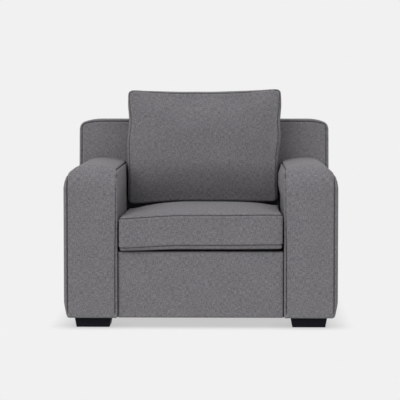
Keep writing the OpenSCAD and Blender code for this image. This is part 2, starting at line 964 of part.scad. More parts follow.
base_front_rail();
base_rear_rail();
mirror([1, 0, 0]) base_side_rail();  // base_left_rail
base_side_rail();  // base_right_rail
base_cross_rail();
corner_blocks();
seat_springs();
spring_clips();
spring_tie_wires();
deck_felt();
deck_cloth();
front_rail_foam();
front_rail_cover();
mirror([1, 0, 0]) arm_board(arm_frame_front_y);  // left_arm_front_board
mirror([1, 0, 0]) arm_board(arm_frame_rear_y - board_t);  // left_arm_rear_board
mirror([1, 0, 0]) arm_top_rail();  // left_arm_top_rail
mirror([1, 0, 0]) arm_inner_rail();  // left_arm_inner_rail
mirror([1, 0, 0]) arm_outer_rail();  // left_arm_outer_rail
mirror([1, 0, 0]) arm_inner_panel();  // left_arm_inner_panel
mirror([1, 0, 0]) arm_outer_panel();  // left_arm_outer_panel
mirror([1, 0, 0]) arm_foam();  // left_arm_foam
mirror([1, 0, 0]) arm_cover();  // left_arm_cover
arm_board(arm_frame_front_y);  // right_arm_front_board
arm_board(arm_frame_rear_y - board_t);  // right_arm_rear_board
arm_top_rail();  // right_arm_top_rail
arm_inner_rail();  // right_arm_inner_rail
arm_outer_rail();  // right_arm_outer_rail
arm_inner_panel();  // right_arm_inner_panel
arm_outer_panel();  // right_arm_outer_panel
arm_foam();  // right_arm_foam
arm_cover();  // right_arm_cover
mirror([1, 0, 0]) back_board();  // back_left_board
back_board();  // back_right_board
slope_rail(top_slope_rail_z);  // back_top_rail
slope_rail(middle_slope_rail_z);  // back_middle_rail
back_low_rail();
back_rear_rail();
back_straps();
back_padding();  // back_foam
back_cover();
outside_back_panel();
dust_cover();
foot_blocks();
frame_bolts();
foot_bolts();
tee_nuts();
translate([-foot_x, foot_front_y, 0]) foot();  // front_left_foot
translate([foot_x, foot_front_y, 0]) foot();  // front_right_foot
translate([-foot_x, foot_rear_y, 0]) foot();  // rear_left_foot
translate([foot_x, foot_rear_y, 0]) foot();  // rear_right_foot
seat_cushion_cover();
seat_cushion_foam();
seat_cushion_welts();
color(black) at_seat_zip() zip(seat_zip_l);  // seat_cushion_zip
color(steel) at_seat_zip() zip_slider(seat_zip_l);  // seat_zip_slider
back_cushion_cover();
back_cushion_filling();
back_cushion_welts();
color(black) at_pillow_zip() zip(pillow_zip_l);  // back_cushion_zip
color(steel) at_pillow_zip() zip_slider(pillow_zip_l);  // back_zip_slider
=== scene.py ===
import bpy
import json
import math
from mathutils import Matrix, Vector, kdtree


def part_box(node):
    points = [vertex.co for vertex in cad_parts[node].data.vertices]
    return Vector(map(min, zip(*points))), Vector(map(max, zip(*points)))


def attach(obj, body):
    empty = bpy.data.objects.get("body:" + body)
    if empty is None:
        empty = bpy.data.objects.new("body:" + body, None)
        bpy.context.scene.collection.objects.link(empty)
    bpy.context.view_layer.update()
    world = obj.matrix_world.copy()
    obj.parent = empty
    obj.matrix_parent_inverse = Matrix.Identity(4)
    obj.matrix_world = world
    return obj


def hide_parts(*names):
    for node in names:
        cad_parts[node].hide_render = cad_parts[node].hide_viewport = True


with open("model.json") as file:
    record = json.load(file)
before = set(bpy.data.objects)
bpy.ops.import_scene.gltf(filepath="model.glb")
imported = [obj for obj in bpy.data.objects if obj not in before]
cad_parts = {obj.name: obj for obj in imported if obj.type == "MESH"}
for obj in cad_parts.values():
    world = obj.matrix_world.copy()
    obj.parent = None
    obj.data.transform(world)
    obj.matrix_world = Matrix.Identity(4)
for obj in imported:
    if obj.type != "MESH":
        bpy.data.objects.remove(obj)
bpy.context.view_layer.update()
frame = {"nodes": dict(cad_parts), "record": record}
print("frame loaded:", len(frame["nodes"]), "nodes")

cameraSettings = {
    "stand": (0.126, -7.56, 0.930),
    "aim": (-0.0025, -0.458, 0.4870),
    "lens": 169.7,
}

bpy.ops.object.camera_add(location=cameraSettings["stand"])
camera = bpy.context.object
camera.name = "studioCamera"
camera.data.lens = cameraSettings["lens"]
camera.data.sensor_width = 36
camera.data.clip_end = 60
lookAlong = Vector(cameraSettings["aim"]) - Vector(cameraSettings["stand"])
camera.rotation_euler = lookAlong.to_track_quat("-Z", "Y").to_euler()
bpy.context.scene.camera = camera
print("camera placed")


def choose(*pieces):
    if bpy.context.object and bpy.context.object.mode != "OBJECT":
        bpy.ops.object.mode_set(mode="OBJECT")
    bpy.ops.object.select_all(action="DESELECT")
    for piece in pieces:
        piece.select_set(True)
    bpy.context.view_layer.objects.active = pieces[0]
    return pieces[0]


def copyPiece(piece, name):
    copy = piece.copy()
    copy.data = piece.data.copy()
    copy.name = copy.data.name = name
    bpy.context.scene.collection.objects.link(copy)
    return copy


def addBlock(name, low, high):
    low, high = Vector(low), Vector(high)
    bpy.ops.object.select_all(action="DESELECT")
    bpy.ops.mesh.primitive_cube_add(size=1, location=(low + high) / 2)
    piece = bpy.context.object
    piece.name = piece.data.name = name
    piece.scale = high - low
    bpy.ops.object.transform_apply(location=True, rotation=True, scale=True)
    return piece


def edgeTests(piece):
    # each edge with its middle and its direction
    for edge in piece.data.edges:
        a, b = [piece.data.vertices[i].co for i in edge.vertices]
        yield edge, (a + b) / 2, (b - a).normalized()


def selectOnly(piece, edges=(), faces=(), mode="EDGE"):
    choose(piece)
    bpy.ops.object.mode_set(mode="EDIT")
    bpy.ops.mesh.select_mode(type=mode)
    bpy.ops.mesh.select_all(action="DESELECT")
    bpy.ops.object.mode_set(mode="OBJECT")
    for i in edges:
        piece.data.edges[i].select = True
    for i in faces:
        piece.data.polygons[i].select = True
    bpy.ops.object.mode_set(mode="EDIT")


def slideEdges(piece, test, shift):
    selectOnly(piece, edges=[e.index for e, middle, way in edgeTests(piece) if test(middle, way)])
    bpy.ops.transform.translate(value=shift)
    bpy.ops.object.mode_set(mode="OBJECT")


def cutAt(piece, point, normal):
    choose(piece)
    bpy.ops.object.mode_set(mode="EDIT")
    bpy.ops.mesh.select_all(action="SELECT")
    bpy.ops.mesh.bisect(plane_co=point, plane_no=normal)
    bpy.ops.object.mode_set(mode="OBJECT")


def useModifier(piece, kind, **values):
    choose(piece)
    modifier = piece.modifiers.new(kind.lower(), kind)
    for key, value in values.items():
        setattr(modifier, key, value)
    bpy.ops.object.modifier_apply(modifier=modifier.name)


def roundEdges(piece, groups, segments=6):
    # groups holds (radius, test) for each set of edges that is rounded alike
    widest = max(radius for radius, test in groups)
    weights = piece.data.attributes.new("bevel_weight_edge", "FLOAT", "EDGE")
    for edge, middle, way in edgeTests(piece):
        for radius, test in groups:
            if test(middle, way):
                weights.data[edge.index].value = radius / widest
    useModifier(piece, "BEVEL", limit_method="WEIGHT", width=widest, segments=segments)


def evenMesh(piece, voxel, turns):
    choose(piece)
    piece.data.remesh_voxel_size = voxel
    bpy.ops.object.voxel_remesh()
    useModifier(piece, "SMOOTH", factor=0.5, iterations=turns)


def moveVertices(piece, rule):
    for vertex in piece.data.vertices:
        vertex.co = rule(vertex.co.copy())
    piece.data.update()


def ease(value, start, end):
    t = min(1.0, max(0.0, (value - start) / (end - start)))
    return t * t * (3 - 2 * t)


def treeOf(points):
    tree = kdtree.KDTree(len(points))
    for i, point in enumerate(points):
        tree.insert(point, i)
    tree.balance()
    return tree


def evenly(points, step, closed=False):
    # the same route, with a point at every step
    route = [Vector(p) for p in points]
    if closed:
        route.append(route[0].copy())
    total = sum((b - a).length for a, b in zip(route, route[1:]))
    count = max(2, round(total / step))
    step = total / count
    out, left = [route[0].copy()], step
    for a, b in zip(route, route[1:]):
        length = (b - a).length
        gone = 0.0
        while length - gone >= left - 1e-9 and length > 0:
            gone += left
            out.append(a.lerp(b, min(1.0, gone / length)))
            left = step
        left -= length - gone
    return out[:count] if closed else out


def softenRoute(points, times, closed=False):
    route = [p.copy() for p in points]
    for turn in range(times):
        old = [p.copy() for p in route]
        for i in range(0 if closed else 1, len(route) - (0 if closed else 1)):
            route[i] = (old[i - 1] + old[i] * 2 + old[(i + 1) % len(old)]) / 4
    return route


def layOn(piece, route, lift=0.0):
    # each point goes to the nearest place on the piece
    out = []
    for point in route:
        found, place, normal, face = piece.closest_point_on_mesh(point)
        out.append(place + normal * lift)
    return out


def refineNear(piece, route, reach):
    tree = treeOf(route)
    near = [f.index for f in piece.data.polygons if tree.find(f.center)[2] < reach]
    selectOnly(piece, faces=near, mode="FACE")
    bpy.ops.mesh.subdivide(number_cuts=1)
    bpy.ops.object.mode_set(mode="OBJECT")


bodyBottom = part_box("right_arm_cover")[0].z
seamSettings = {
    "step": 0.004,              # between the points of a seam's route
    "fineStep": 0.001,
    "refine": (0.016, 0.009),   # faces this near to a seam are split, in two rounds
    "reach": 0.03,
    "puffAt": 0.010,
    "puffWidth": 0.006,
    "hemFade": (0.002, 0.016),  # an open seam ends softly, this far above the hem
}


def pressSeam(piece, route, depth, width, puff=0.0008, closed=False):
    # the cloth is drawn in sharply along the seam and stands a little proud beside it
    s = seamSettings
    coarse = evenly(route, s["step"], closed)
    for reach in s["refine"]:
        refineNear(piece, coarse, reach)
    tree = treeOf(evenly(route, s["fineStep"], closed))
    normals = [v.normal.copy() for v in piece.data.vertices]
    for vertex, normal in zip(piece.data.vertices, normals):
        away = tree.find(vertex.co)[2]
        if away < s["reach"]:
            drop = depth * math.exp(-(away / width) ** 2)
            if not closed:
                drop *= ease(vertex.co.z, bodyBottom + s["hemFade"][0], bodyBottom + s["hemFade"][1])
            rise = puff * math.exp(-((away - s["puffAt"]) / s["puffWidth"]) ** 2)
            vertex.co += normal * (rise - drop)
    piece.data.update()


def sewWelt(name, route, radius, closed=False):
    data = bpy.data.curves.new(name, "CURVE")
    data.dimensions = "3D"
    spline = data.splines.new("POLY")
    spline.points.add(len(route) - 1)
    for target, point in zip(spline.points, route):
        target.co = (*point, 1)
    spline.use_cyclic_u = closed
    data.bevel_depth = radius
    data.bevel_resolution = 2
    data.use_fill_caps = not closed
    piece = bpy.data.objects.new(name, data)
    bpy.context.scene.collection.objects.link(piece)
    choose(piece)
    bpy.ops.object.convert(target="MESH")
    return bpy.context.object


def joinAs(name, pieces):
    choose(*pieces)
    if len(pieces) > 1:
        bpy.ops.object.join()
    piece = bpy.context.object
    piece.name = piece.data.name = name
    return piece


def mirrorPiece(piece):
    choose(piece)
    bpy.ops.object.mode_set(mode="EDIT")
    bpy.ops.mesh.select_all(action="SELECT")
    bpy.ops.transform.mirror(constraint_axis=(True, False, False), center_override=(0, 0, 0))
    bpy.ops.mesh.normals_make_consistent(inside=False)
    bpy.ops.object.mode_set(mode="OBJECT")


def mapCloth(piece, rule):
    # rule(middle, normal) answers with the way a panel's points lie on the cloth, in metres
    while piece.data.uv_layers:
        piece.data.uv_layers.remove(piece.data.uv_layers[0])
    layer = piece.data.uv_layers.new(name="clothMap")
    vertices, loops = piece.data.vertices, piece.data.loops
    for face in piece.data.polygons:
        lay = rule(face.center, face.normal)
        for corner in face.loop_indices:
            layer.data[corner].uv = lay(vertices[loops[corner].vertex_index].co)


def byFacing(middle, normal):
    # the panel lies flat against the axis that it faces most
    size = [abs(c) for c in normal]
    if size[0] == max(size):
        return lambda p: (p.y, p.z)
    if size[1] == max(size):
        return lambda p: (p.x, p.z)
    return lambda p: (p.x, p.y)


def newGroup(name, inputs, outputs):
    group = bpy.data.node_groups.new(name, "ShaderNodeTree")
    for label, kind, value in inputs:
        made = group.interface.new_socket(name=label, in_out="INPUT", socket_type=kind)
        if value is not None:
            made.default_value = value
    for label in outputs:
        group.interface.new_socket(name=label, in_out="OUTPUT", socket_type="NodeSocketFloat")
    start = group.nodes.new("NodeGroupInput")
    end = group.nodes.new("NodeGroupOutput")
    start.location, end.location = (-900, 0), (900, 0)
    return group, start.outputs, end.inputs


def addNode(tree, kind, place=(0, 0), **values):
    node = tree.nodes.new(kind)
    node.location = place
    for key, value in values.items():
        setattr(node, key, value)
    return node


def plug(tree, socket, value):
    if isinstance(value, (int, float)):
        socket.default_value = value
    elif isinstance(value, tuple):
        socket.default_value = (*value, 1) if socket.type == "RGBA" else value
    else:
        tree.links.new(value, socket)


def reckon(tree, operation, *values, clampIt=False):
    node = addNode(tree, "ShaderNodeMath", operation=operation, use_clamp=clampIt)
    for i, value in enumerate(values):
        plug(tree, node.inputs[i], value)
    return node.outputs[0]


def cloudy(tree, vector, scale, detail=2.0, rough=0.5, stretch=None):
    if stretch is not None:
        mapping = addNode(tree, "ShaderNodeMapping", (-400, 0))
        mapping.inputs["Scale"].default_value = stretch
        tree.links.new(vector, mapping.inputs["Vector"])
        vector = mapping.outputs[0]
    node = addNode(tree, "ShaderNodeTexNoise", (-200, 0))
    node.inputs["Scale"].default_value = scale
    node.inputs["Detail"].default_value = detail
    node.inputs["Roughness"].default_value = rough
    tree.links.new(vector, node.inputs["Vector"])
    return node.outputs["Fac"]


def blendColour(tree, share, a, b):
    node = addNode(tree, "ShaderNodeMix", (200, 0), data_type="RGBA")
    for i, value in ((0, share), (6, a), (7, b)):
        plug(tree, node.inputs[i], value)
    return node.outputs[2]


def scaledMap(tree, vector, scale):
    node = addNode(tree, "ShaderNodeVectorMath", (-700, 0), operation="SCALE")
    tree.links.new(vector, node.inputs[0])
    plug(tree, node.inputs["Scale"], scale)
    return node.outputs[0]


def makeWeave():
    # a plain weave of slubby, heathered yarn
    group, given, out = newGroup(
        "plainWeave",
        [("Map", "NodeSocketVector", None), ("Threads per metre", "NodeSocketFloat", 700.0),
         ("Slub", "NodeSocketFloat", 1.0)],
        ["Height", "Heather", "Drift"])
    vector = given["Map"]
    split = addNode(group, "ShaderNodeSeparateXYZ", (-500, 0))
    group.links.new(scaledMap(group, vector, given["Threads per metre"]), split.inputs[0])
    u, v = split.outputs[0], split.outputs[1]
    warp, weft = [reckon(group, "ABSOLUTE", reckon(group, "SINE", reckon(
        group, "MULTIPLY", side, math.pi))) for side in (u, v)]
    over = reckon(group, "PINGPONG", reckon(
        group, "ADD", reckon(group, "FLOOR", u), reckon(group, "FLOOR", v)), 1.0)
    under = reckon(group, "SUBTRACT", 1.0, over)
    high = reckon(group, "ADD", reckon(group, "MULTIPLY", warp, over),
                  reckon(group, "MULTIPLY", weft, under))
    group.links.new(high, out["Height"])
    # streaks one thread wide along both thread directions, and a fine fleck
    along = cloudy(group, vector, 1.0, 3.0, 0.6, (70, 380, 1))
    across = cloudy(group, vector, 1.0, 3.0, 0.6, (380, 70, 1))
    fleck = cloudy(group, vector, 210.0, 4.0, 0.7)
    streaks = reckon(group, "MULTIPLY", reckon(group, "ADD", along, across), 1.35)
    mixed = reckon(group, "ADD", streaks, reckon(group, "MULTIPLY", fleck, 0.55))
    heather = reckon(group, "MULTIPLY", reckon(group, "SUBTRACT", mixed, 1.625), given["Slub"])
    group.links.new(heather, out["Heather"])
    drift = cloudy(group, vector, 9.0, 3.0, 0.6)
    group.links.new(reckon(group, "SUBTRACT", drift, 0.5), out["Drift"])
    return group


def makeGrain():
    # wood grain along the first axis of its map
    group, given, out = newGroup(
        "woodGrain", [("Map", "NodeSocketVector", None), ("Scale", "NodeSocketFloat", 1.0)],
        ["Bands", "Pores"])
    scaled = scaledMap(group, given["Map"], given["Scale"])
    bands = cloudy(group, scaled, 1.0, 4.0, 0.6, (3, 45, 45))
    rings = reckon(group, "PINGPONG", reckon(group, "MULTIPLY", bands, 9.0), 1.0)
    group.links.new(rings, out["Bands"])
    group.links.new(cloudy(group, scaled, 1.0, 3.0, 0.7, (40, 700, 700)), out["Pores"])
    return group


def makeMottle():
    # soft blotches and fine grit, for felt, foam, dust and worn metal
    group, given, out = newGroup(
        "softMottle", [("Map", "NodeSocketVector", None), ("Scale", "NodeSocketFloat", 1.0)],
        ["Blotch", "Grit"])
    scaled = scaledMap(group, given["Map"], given["Scale"])
    group.links.new(cloudy(group, scaled, 12.0, 4.0, 0.6), out["Blotch"])
    group.links.new(cloudy(group, scaled, 350.0, 3.0, 0.7), out["Grit"])
    return group


weaveGroup = makeWeave()
grainGroup = makeGrain()
mottleGroup = makeMottle()
print("node groups made")


def newMaterial(name, roughness=0.8, metallic=0.0, sheen=0.0, specular=0.5):
    material = bpy.data.materials.new(name)
    material.use_nodes = True
    shader = material.node_tree.nodes["Principled BSDF"]
    shader.inputs["Roughness"].default_value = roughness
    shader.inputs["Metallic"].default_value = metallic
    shader.inputs["Sheen Weight"].default_value = sheen
    shader.inputs["Sheen Roughness"].default_value = 0.4
    shader.inputs["Specular IOR Level"].default_value = specular
    return material, material.node_tree, shader


def placeGroup(tree, group, mapping, scaleName, scale):
    node = addNode(tree, "ShaderNodeGroup", (-500, 0))
    node.node_tree = group
    node.inputs[scaleName].default_value = scale
    tree.links.new(mapping, node.inputs["Map"])
    return node


def mapOf(tree, kind="Object"):
    return addNode(tree, "ShaderNodeTexCoord", (-1100, 0)).outputs[kind]


def addBump(tree, shader, height, strength, distance):
    bump = addNode(tree, "ShaderNodeBump", (-200, -300))
    bump.inputs["Strength"].default_value = strength
    bump.inputs["Distance"].default_value = distance
    tree.links.new(height, bump.inputs["Height"])
    tree.links.new(bump.outputs[0], shader.inputs["Normal"])


def makeCloth(name, dark, light, warm, threads, slub=1.0, mapKind="UV", sheen=0.05):
    material, tree, shader = newMaterial(name, roughness=0.92, sheen=sheen, specular=0.2)
    vector = mapOf(tree, mapKind)
    weave = placeGroup(tree, weaveGroup, vector, "Threads per metre", threads)
    weave.inputs["Slub"].default_value = slub
    # the base colour is lighter on the weave's thread crests and darker in the low places between threads,
    # painted shade in the weave's hollows
    thread = reckon(tree, "MULTIPLY", reckon(tree, "SUBTRACT", weave.outputs["Height"], 0.64), 0.25)
    drift = reckon(tree, "MULTIPLY", weave.outputs["Drift"], 0.25)
    shade = reckon(tree, "ADD", reckon(tree, "ADD", weave.outputs["Heather"], 0.45), drift)
    shade = reckon(tree, "ADD", shade, thread, clampIt=True)
    fleck = cloudy(tree, vector, 420.0, 1.0, 0.5)
    fleck = reckon(tree, "MULTIPLY", reckon(tree, "SUBTRACT", fleck, 0.5, clampIt=True), 0.9)
    colour = blendColour(tree, fleck, blendColour(tree, shade, dark, light), warm)
    tree.links.new(colour, shader.inputs["Base Color"])
    rough = reckon(tree, "ADD", reckon(tree, "MULTIPLY", weave.outputs["Heather"], 0.12), 0.88)
    tree.links.new(rough, shader.inputs["Roughness"])
    addBump(tree, shader, weave.outputs["Height"], 0.35, 0.0005)
    return material


def makeWood(name, dark, light, roughness, scale=1.0, specular=0.4, turned=(0, 0, 0)):
    material, tree, shader = newMaterial(name, roughness=roughness, specular=specular)
    turn = addNode(tree, "ShaderNodeMapping", (-900, 0))
    turn.inputs["Rotation"].default_value = turned
    tree.links.new(mapOf(tree), turn.inputs["Vector"])
    grain = placeGroup(tree, grainGroup, turn.outputs[0], "Scale", scale)
    pores = reckon(tree, "MULTIPLY", grain.outputs["Pores"], 0.35)
    shade = reckon(tree, "SUBTRACT", reckon(tree, "ADD", reckon(
        tree, "MULTIPLY", grain.outputs["Bands"], 0.55), 0.35), pores, clampIt=True)
    tree.links.new(blendColour(tree, shade, dark, light), shader.inputs["Base Color"])
    rough = reckon(tree, "ADD", reckon(tree, "MULTIPLY", grain.outputs["Pores"], 0.2),
                   roughness - 0.1)
    tree.links.new(rough, shader.inputs["Roughness"])
    addBump(tree, shader, grain.outputs["Pores"], 0.2, 0.0004)
    return material


def makeMottled(name, dark, light, roughness, scale=1.0, metallic=0.0, bump=0.2, sheen=0.0,
                share=0.5):
    material, tree, shader = newMaterial(name, roughness=roughness, metallic=metallic, sheen=sheen)
    mottle = placeGroup(tree, mottleGroup, mapOf(tree), "Scale", scale)
    grit = reckon(tree, "MULTIPLY", mottle.outputs["Grit"], 1 - share)
    shade = reckon(tree, "ADD", reckon(tree, "MULTIPLY", mottle.outputs["Blotch"], share), grit,
                   clampIt=True)
    tree.links.new(blendColour(tree, shade, dark, light), shader.inputs["Base Color"])
    rough = reckon(tree, "ADD", reckon(tree, "MULTIPLY", mottle.outputs["Blotch"], 0.2),
                   roughness - 0.1)
    tree.links.new(rough, shader.inputs["Roughness"])
    addBump(tree, shader, mottle.outputs["Grit"], bump, 0.0006)
    return material


upholsteryCloth = makeCloth("heatheredUpholsteryCloth", (0.100, 0.097, 0.105),
                            (0.250, 0.243, 0.257), (0.190, 0.172, 0.168), 640.0, 1.4)
deckLining = makeCloth("greyDeckLining", (0.050, 0.050, 0.054), (0.075, 0.075, 0.080),
                       (0.06, 0.06, 0.06), 900.0, 0.6, "Object", 0.0)
dustLining = makeCloth("blackNonWoven", (0.010, 0.010, 0.011), (0.024, 0.024, 0.026),
                       (0.02, 0.02, 0.02), 1100.0, 1.4, "Object", 0.0)
elasticWeb = makeCloth("elasticWebbing", (0.020, 0.020, 0.022), (0.060, 0.060, 0.064),
                       (0.30, 0.10, 0.08), 500.0, 0.8, "Object", 0.0)
zipCloth = makeCloth("zipTape", (0.030, 0.030, 0.033), (0.060, 0.060, 0.065),
                     (0.05, 0.05, 0.05), 1400.0, 0.5, "Object", 0.0)
sawnTimber = makeWood("sawnTimber", (0.30, 0.17, 0.075), (0.56, 0.39, 0.20), 0.75)
sandedPly = makeWood("sandedPlywood", (0.38, 0.24, 0.12), (0.62, 0.46, 0.27), 0.7, 1.4,
                     turned=(0, math.pi / 2, 0))
footStain = makeWood("blackStain", (0.0030, 0.0035, 0.0060), (0.0080, 0.0088, 0.0140), 0.60, 1.3,
                     specular=0.12)
hardboardBrown = makeMottled("hardboardBrown", (0.11, 0.055, 0.025), (0.19, 0.105, 0.05), 0.6)
foamYellow = makeMottled("cellFoam", (0.62, 0.53, 0.30), (0.80, 0.72, 0.47), 0.95, 2.0, bump=0.6)
fibreWhite = makeMottled("fibreFill", (0.74, 0.74, 0.71), (0.88, 0.88, 0.86), 0.95, 1.0, bump=0.8)
feltGrey = makeMottled("mottledFelt", (0.10, 0.09, 0.08), (0.27, 0.25, 0.22), 0.95, 3.0, bump=0.7)
springSteel = makeMottled("drawnWire", (0.10, 0.10, 0.11), (0.22, 0.22, 0.23), 0.42, 2.0, 1.0, 0.1)
zincSteel = makeMottled("zincPlate", (0.36, 0.37, 0.36), (0.55, 0.56, 0.54), 0.35, 4.0, 1.0, 0.1)
zipBlack = makeMottled("satinZipMetal", (0.012, 0.012, 0.013), (0.03, 0.03, 0.032), 0.35, 3.0, 0.6,
                       0.1)

slotMaterials = {
    "woven_cloth": upholsteryCloth, "deck_cloth": deckLining, "dust_cloth": dustLining,
    "elastic": elasticWeb, "foam": foamYellow, "fibre": fibreWhite, "felt": feltGrey,
    "zip_tape": zipCloth, "timber": sawnTimber, "plywood": sandedPly,
    "hardboard": hardboardBrown, "black_wood": footStain, "steel_wire": springSteel,
    "zinc_steel": zincSteel, "zip_metal": zipBlack,
}
for part in frame["record"]["subparts"]:
    node = frame["nodes"][part["node"]]
    node.data.materials.clear()
    node.data.materials.append(slotMaterials[part["material_slot"]])
print("materials made and placed on", len(frame["nodes"]), "nodes")


def finishPiece(piece, slotName, nodes=(), body="chair_frame", smooth=True):
    choose(piece)
    if smooth:
        bpy.ops.object.shade_smooth()
    piece.data.materials.clear()
    piece.data.materials.append(slotMaterials[slotName])
    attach(piece, body)
    if nodes:
        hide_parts(*nodes)
    return piece


studioSettings = {
    "paper": (0.879, 0.879, 0.879),       # what the floor and the backdrop show
    "shade": (0.50, 0.50, 0.505),         # the floor in the deepest shade under the chair
    "shadeReach": 0.09,
    "bounce": (0.62, 0.62, 0.62),         # what the floor sends up to the chair
    "dome": 0.98,
    "sun": 0.95,
    "sunFrom": (-2.3, -3.0, 2.6),
    "sunSpread": 45,
}

bpy.ops.object.select_all(action="DESELECT")
bpy.ops.mesh.primitive_plane_add(size=60, location=(0, 0, 0))
floor = bpy.context.object
floor.name = "studioFloor"
floorMaterial = bpy.data.materials.new("paleFloor")
floorMaterial.use_nodes = True
floorTree = floorMaterial.node_tree
floorTree.nodes.remove(floorTree.nodes["Principled BSDF"])
# the floor glows: camera rays see the paper colour, darkened towards the shade colour by ambient occlusion
# as a painted shadow under the chair; other rays see the dimmer bounce glow, painted light in place of
# light thrown up from the floor
glow = addNode(floorTree, "ShaderNodeEmission", (200, 0))
nearness = addNode(floorTree, "ShaderNodeAmbientOcclusion", (-300, 0), samples=16)
nearness.inputs["Distance"].default_value = studioSettings["shadeReach"]
floorRays = addNode(floorTree, "ShaderNodeLightPath", (-300, 300))
shown = blendColour(floorTree, nearness.outputs["AO"], studioSettings["shade"],
                    studioSettings["paper"])
floorTree.links.new(blendColour(floorTree, floorRays.outputs["Is Camera Ray"],
                                studioSettings["bounce"], shown), glow.inputs[0])
floorTree.links.new(glow.outputs[0], floorTree.nodes["Material Output"].inputs[0])
floor.data.materials.append(floorMaterial)

world = bpy.data.worlds.new("studioDome")
bpy.context.scene.world = world
world.use_nodes = True
worldTree = world.node_tree
dome = worldTree.nodes["Background"]
dome.inputs[0].default_value = (1, 1, 1, 1)
dome.inputs[1].default_value = studioSettings["dome"]
paper = addNode(worldTree, "ShaderNodeBackground", (0, -200))
paper.inputs[0].default_value = (*studioSettings["paper"], 1)
pick = addNode(worldTree, "ShaderNodeMixShader", (250, 0))
rays = addNode(worldTree, "ShaderNodeLightPath", (0, 300))
worldTree.links.new(rays.outputs["Is Camera Ray"], pick.inputs[0])
worldTree.links.new(dome.outputs[0], pick.inputs[1])
worldTree.links.new(paper.outputs[0], pick.inputs[2])
worldTree.links.new(pick.outputs[0], worldTree.nodes["World Output"].inputs[0])

bpy.ops.object.light_add(type="SUN", location=studioSettings["sunFrom"])
sun = bpy.context.object
sun.name = "overheadSoftbox"
sun.data.energy = studioSettings["sun"]
sun.data.angle = math.radians(studioSettings["sunSpread"])
sun.rotation_euler = (-Vector(studioSettings["sunFrom"])).to_track_quat("-Z", "Y").to_euler()
bpy.context.scene.view_settings.view_transform = "Standard"
print("studio lit")


def sliceRoute(piece, point, normal, order, keep):
    # the points where a plane cuts the piece, sorted along the route
    copy = copyPiece(piece, "slice")
    choose(copy)
    bpy.ops.object.mode_set(mode="EDIT")
    bpy.ops.mesh.select_all(action="SELECT")
    bpy.ops.mesh.bisect(plane_co=point, plane_no=normal, clear_inner=True, clear_outer=True)
    bpy.ops.object.mode_set(mode="OBJECT")
    points = [v.co.copy() for v in copy.data.vertices if keep(v.co)]
    bpy.data.objects.remove(copy)
    return sorted(points, key=order)


armSettings = {
    "topRadius": 0.083,
    "innerRadius": 0.018,
    "frontRadius": 0.085,
    "sideRadius": 0.014,
    "hemRadius": 0.008,
    "innerSideRadius": 0.008,
    "floorEdge": 0.003,
    "crown": {"inner": 0.017, "outer": 0.002},
    "topLift": 0.003,
    "crownFrom": 0.42,
    "frontSwell": 0.003,
    "voxel": 0.0055,
    "outerSeam": 0.0145,    # how far each seam stands in from its side
    "innerSeam": 0.008,
    "seamDepth": 0.0095,
    "seamWidth": 0.0023,
    "innerDrift": 0.005,    # the inner seam nears its edge higher up
    "driftFrom": (0.25, 0.46),
    "bulge": {"left": 0.006, "right": 0.013},
    "bulgeFrom": (0.446, 0.530),
    "bulgeUntil": 0.560,
}
hemSettings = {
    "tuck": 0.013,          # how far the side panels draw in at the hem
    "tuckHeight": 0.06,
    "drop": 0.004,
    "dropHeight": 0.03,
    "sideRim": (0.034, 0.024),      # the rim hangs within these distances of the faces
    "frontRim": (0.016, 0.006),
}
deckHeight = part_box("deck_cloth")[1].z
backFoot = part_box("back_cover")[0].y
backRake = math.tan(math.radians(6))
armLow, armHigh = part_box("right_arm_cover")
inner, outer, armFront, armTop = armLow.x, armHigh.x, armLow.y, armHigh.z


def tuckHem(p, share):
    # side panels draw in towards the hem, and the hem's rim hangs a little below the frame
    s = hemSettings
    low = max(0.0, 1 - (p.z - bodyBottom) / s["tuckHeight"]) ** 1.5
    p.x -= math.copysign(s["tuck"] * min(1.0, low) * share, p.x)
    sideRim = ease(abs(p.x), outer - s["sideRim"][0], outer - s["sideRim"][1])
    return dropRim(p, armFront, sideRim)


def dropRim(p, front, rim=0.0):
    s = hemSettings
    rim = max(rim, ease(-p.y, -front - s["frontRim"][0], -front - s["frontRim"][1]))
    p.z -= s["drop"] * rim * (1 - ease(p.z, bodyBottom, bodyBottom + s["dropHeight"]))
    return p


def makeArm():
    rear = backFoot - 0.001
    arm = addBlock("armBlank", (inner, armFront, bodyBottom), (outer, rear, armTop))
    cutAt(arm, (0, 0, deckHeight), (0, 0, 1))
    slideEdges(arm, lambda m, w: abs(w.x) > 0.9 and m.y > rear - 0.01 and m.z > armTop - 0.01,
               (0, (armTop - deckHeight) * backRake, 0))
    atTop = lambda m: m.z > armTop - 0.01
    atFront = lambda m: m.y < armFront + 0.01
    atFloor = lambda m: m.z < bodyBottom + 0.01
    atOuter = lambda m: m.x > outer - 0.01
    s = armSettings
    roundEdges(arm, [
        (s["floorEdge"], lambda m, w: atFloor(m)),
        (s["topRadius"], lambda m, w: abs(w.y) > 0.9 and atTop(m) and atOuter(m)),
        (s["innerRadius"], lambda m, w: abs(w.y) > 0.9 and atTop(m) and not atOuter(m)),
        (s["frontRadius"], lambda m, w: abs(w.x) > 0.9 and atTop(m) and atFront(m)),
        (s["sideRadius"], lambda m, w: abs(w.z) > 0.9 and atFront(m) and atOuter(m)),
        (s["innerSideRadius"], lambda m, w: abs(w.z) > 0.9 and atFront(m) and not atOuter(m)),
        (s["hemRadius"], lambda m, w: abs(w.y) > 0.9 and atFloor(m) and atOuter(m)),
    ])
    evenMesh(arm, s["voxel"], 3)
    middle, half = (inner + outer) / 2, (outer - inner) / 2

    def crowned(p):
        off = (p.x - middle) / half
        fall = s["crown"]["outer" if off > 0 else "inner"] * off * off
        p.z += (s["topLift"] - fall) * ease(p.z, s["crownFrom"], armTop - 0.01)
        p.y -= s["frontSwell"] * (1 - off * off) * ease(-p.y, -armFront - 0.05, -armFront)
        return tuckHem(p, ease(p.x, outer - 0.05, outer - 0.004))
    moveVertices(arm, crowned)
    return arm


